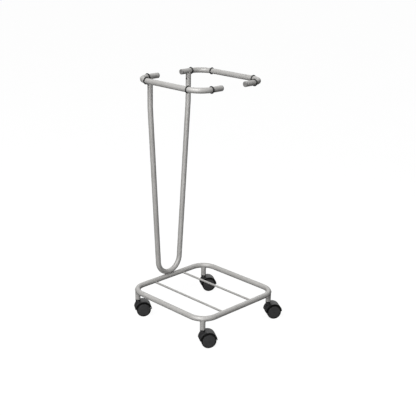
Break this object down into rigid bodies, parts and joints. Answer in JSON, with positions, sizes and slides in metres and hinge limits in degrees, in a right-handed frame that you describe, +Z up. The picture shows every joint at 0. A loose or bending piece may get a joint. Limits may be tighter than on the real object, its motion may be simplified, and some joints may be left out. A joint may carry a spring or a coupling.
{
  "type": "bin bag holder",
  "caption": "Rolling bin bag holder: square bent-tube base on swivel casters, narrow V-shaped back post and two open arms with rubber rings that carry the bag's rim.",
  "frame": {"origin": "on the floor, under the middle of the base loop", "axes": "+Z up, +Y to the back where the post stands, +X to the right seen from the front"},
  "size_m": [0.4367, 0.43, 0.9287],
  "materials": {
    "frame_tube": "satin silver-grey paint",
    "cross_rod": "satin silver-grey paint",
    "tip_cap": "grey moulded plastic",
    "rubber_ring": "black rubber",
    "zinc_steel": "bright zinc",
    "dark_screw": "blackened steel",
    "insert_plastic": "black moulded plastic",
    "housing_plastic": "black moulded plastic, slightly shiny",
    "wheel_plastic": "black moulded plastic, fine grain"
  },
  "bodies": {
    "frame": {"base_loop": "frame_tube", "back_post": "frame_tube", "arm_left": "frame_tube", "arm_right": "frame_tube", "caster_socket_front_left": "frame_tube", "caster_socket_front_right": "frame_tube", "caster_socket_rear_left": "frame_tube", "caster_socket_rear_right": "frame_tube", "cross_rod_left": "cross_rod", "cross_rod_right": "cross_rod", "tip_cap_left_front": "tip_cap", "tip_cap_left_rear": "tip_cap", "tip_cap_right_front": "tip_cap", "tip_cap_right_rear": "tip_cap", "rubber_ring_left_1": "rubber_ring", "rubber_ring_left_2": "rubber_ring", "rubber_ring_left_3": "rubber_ring", "rubber_ring_left_4": "rubber_ring", "rubber_ring_right_1": "rubber_ring", "rubber_ring_right_2": "rubber_ring", "rubber_ring_right_3": "rubber_ring", "rubber_ring_right_4": "rubber_ring", "arm_screw_left": "dark_screw", "arm_screw_right": "dark_screw", "socket_insert_front_left": "insert_plastic", "socket_insert_front_right": "insert_plastic", "socket_insert_rear_left": "insert_plastic", "socket_insert_rear_right": "insert_plastic", "arm_spigot_left": "zinc_steel", "arm_spigot_right": "zinc_steel", "stem_front_left": "zinc_steel", "stem_front_right": "zinc_steel", "stem_rear_left": "zinc_steel", "stem_rear_right": "zinc_steel", "snap_ring_front_left": "zinc_steel", "snap_ring_front_right": "zinc_steel", "snap_ring_rear_left": "zinc_steel", "snap_ring_rear_right": "zinc_steel"},
    "caster_front_left": {"housing_front_left": "housing_plastic", "axle_front_left": "zinc_steel"},
    "wheel_front_left_1": {"wheel_front_left_1": "wheel_plastic"},
    "wheel_front_left_2": {"wheel_front_left_2": "wheel_plastic"},
    "caster_front_right": {"housing_front_right": "housing_plastic", "axle_front_right": "zinc_steel"},
    "wheel_front_right_1": {"wheel_front_right_1": "wheel_plastic"},
    "wheel_front_right_2": {"wheel_front_right_2": "wheel_plastic"},
    "caster_rear_left": {"housing_rear_left": "housing_plastic", "axle_rear_left": "zinc_steel"},
    "wheel_rear_left_1": {"wheel_rear_left_1": "wheel_plastic"},
    "wheel_rear_left_2": {"wheel_rear_left_2": "wheel_plastic"},
    "caster_rear_right": {"housing_rear_right": "housing_plastic", "axle_rear_right": "zinc_steel"},
    "wheel_rear_right_1": {"wheel_rear_right_1": "wheel_plastic"},
    "wheel_rear_right_2": {"wheel_rear_right_2": "wheel_plastic"}
  },
  "joints": [
    {"name": "swivel_front_left", "type": "hinge", "parent": "frame", "child": "caster_front_left", "pos_m": [-0.17743, -0.17743, 0.064], "axis": [0, 0, 1], "continuous": true},
    {"name": "spin_front_left_1", "type": "hinge", "parent": "caster_front_left", "child": "wheel_front_left_1", "pos_m": [-0.16089, -0.18776, 0.0275], "axis": [0.5299, 0.848, 0], "continuous": true},
    {"name": "spin_front_left_2", "type": "hinge", "parent": "caster_front_left", "child": "wheel_front_left_2", "pos_m": [-0.16089, -0.18776, 0.0275], "axis": [0.5299, 0.848, 0], "continuous": true},
    {"name": "swivel_front_right", "type": "hinge", "parent": "frame", "child": "caster_front_right", "pos_m": [0.17743, -0.17743, 0.064], "axis": [0, 0, 1], "continuous": true},
    {"name": "spin_front_right_1", "type": "hinge", "parent": "caster_front_right", "child": "wheel_front_right_1", "pos_m": [0.19396, -0.18776, 0.0275], "axis": [0.5299, 0.848, 0], "continuous": true},
    {"name": "spin_front_right_2", "type": "hinge", "parent": "caster_front_right", "child": "wheel_front_right_2", "pos_m": [0.19396, -0.18776, 0.0275], "axis": [0.5299, 0.848, 0], "continuous": true},
    {"name": "swivel_rear_left", "type": "hinge", "parent": "frame", "child": "caster_rear_left", "pos_m": [-0.17743, 0.17743, 0.064], "axis": [0, 0, 1], "continuous": true},
    {"name": "spin_rear_left_1", "type": "hinge", "parent": "caster_rear_left", "child": "wheel_rear_left_1", "pos_m": [-0.16089, 0.16709, 0.0275], "axis": [0.5299, 0.848, 0], "continuous": true},
    {"name": "spin_rear_left_2", "type": "hinge", "parent": "caster_rear_left", "child": "wheel_rear_left_2", "pos_m": [-0.16089, 0.16709, 0.0275], "axis": [0.5299, 0.848, 0], "continuous": true},
    {"name": "swivel_rear_right", "type": "hinge", "parent": "frame", "child": "caster_rear_right", "pos_m": [0.17743, 0.17743, 0.064], "axis": [0, 0, 1], "continuous": true},
    {"name": "spin_rear_right_1", "type": "hinge", "parent": "caster_rear_right", "child": "wheel_rear_right_1", "pos_m": [0.19396, 0.16709, 0.0275], "axis": [0.5299, 0.848, 0], "continuous": true},
    {"name": "spin_rear_right_2", "type": "hinge", "parent": "caster_rear_right", "child": "wheel_rear_right_2", "pos_m": [0.19396, 0.16709, 0.0275], "axis": [0.5299, 0.848, 0], "continuous": true}
  ]
}
